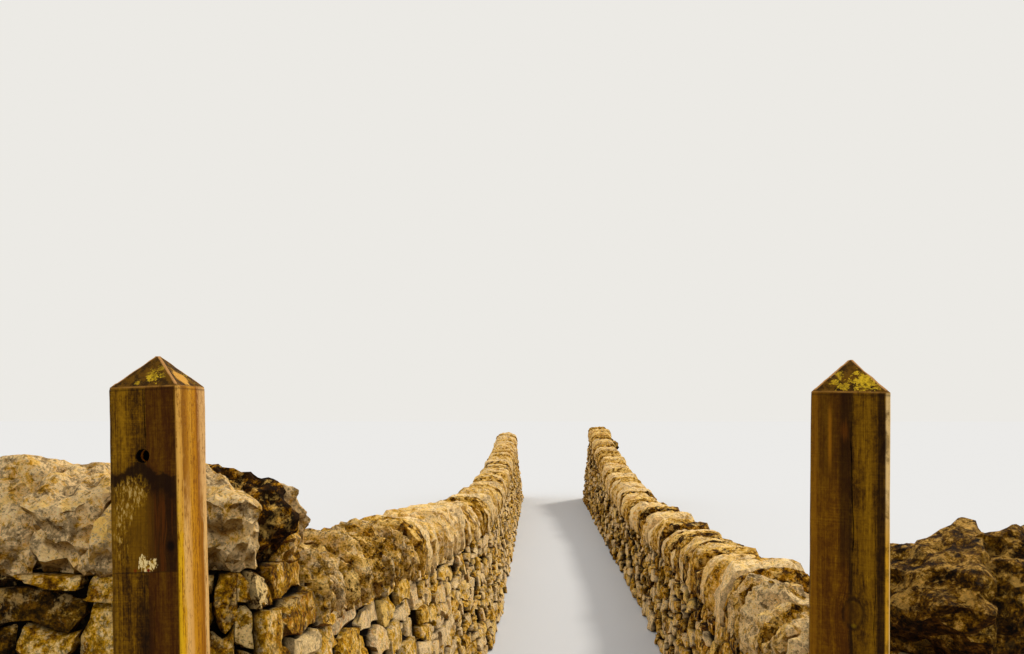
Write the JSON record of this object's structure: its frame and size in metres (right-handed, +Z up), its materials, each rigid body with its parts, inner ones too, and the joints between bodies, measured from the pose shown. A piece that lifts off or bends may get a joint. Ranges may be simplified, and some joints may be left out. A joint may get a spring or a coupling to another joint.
{
  "type": "stone wall gap stile",
  "caption": "Gap stile of square timber gateposts before a dry-stone cross wall that turns into coped lane walls.",
  "frame": {"origin": "middle of the plan's bounding box, at ground level", "axes": "+X across the lane to the right as seen from the posts, +Y down the lane away from the posts, +Z up"},
  "size_m": [5.8, 15.9742, 1.8274],
  "materials": {
    "timber": "weathered sawn hardwood with drying checks, rain stains and lichen",
    "wall_stone": "pale limestone laid dry, with ochre staining and deep open joints",
    "cope_stone": "rough limestone slabs set on edge, weathered grey with pale lichen"
  },
  "bodies": {
    "root": {"left_post": "timber", "right_post": "timber", "left_cross_wall": "wall_stone", "left_corner": "wall_stone", "left_lane_wall_1": "wall_stone", "left_lane_wall_2": "wall_stone", "left_lane_wall_3": "wall_stone", "left_lane_wall_4": "wall_stone", "left_lane_wall_5": "wall_stone", "left_lane_wall_6": "wall_stone", "right_cross_wall": "wall_stone", "right_corner": "wall_stone", "right_lane_wall_1": "wall_stone", "right_lane_wall_2": "wall_stone", "right_lane_wall_3": "wall_stone", "right_lane_wall_4": "wall_stone", "right_lane_wall_5": "wall_stone", "right_lane_wall_6": "wall_stone", "left_cross_copes": "cope_stone", "left_corner_copes": "cope_stone", "left_lane_copes_1": "cope_stone", "left_lane_copes_2": "cope_stone", "left_lane_copes_3": "cope_stone", "left_lane_copes_4": "cope_stone", "left_lane_copes_5": "cope_stone", "left_lane_copes_6": "cope_stone", "right_cross_copes": "cope_stone", "right_corner_copes": "cope_stone", "right_lane_copes_1": "cope_stone", "right_lane_copes_2": "cope_stone", "right_lane_copes_3": "cope_stone", "right_lane_copes_4": "cope_stone", "right_lane_copes_5": "cope_stone", "right_lane_copes_6": "cope_stone"}
  },
  "joints": []
}
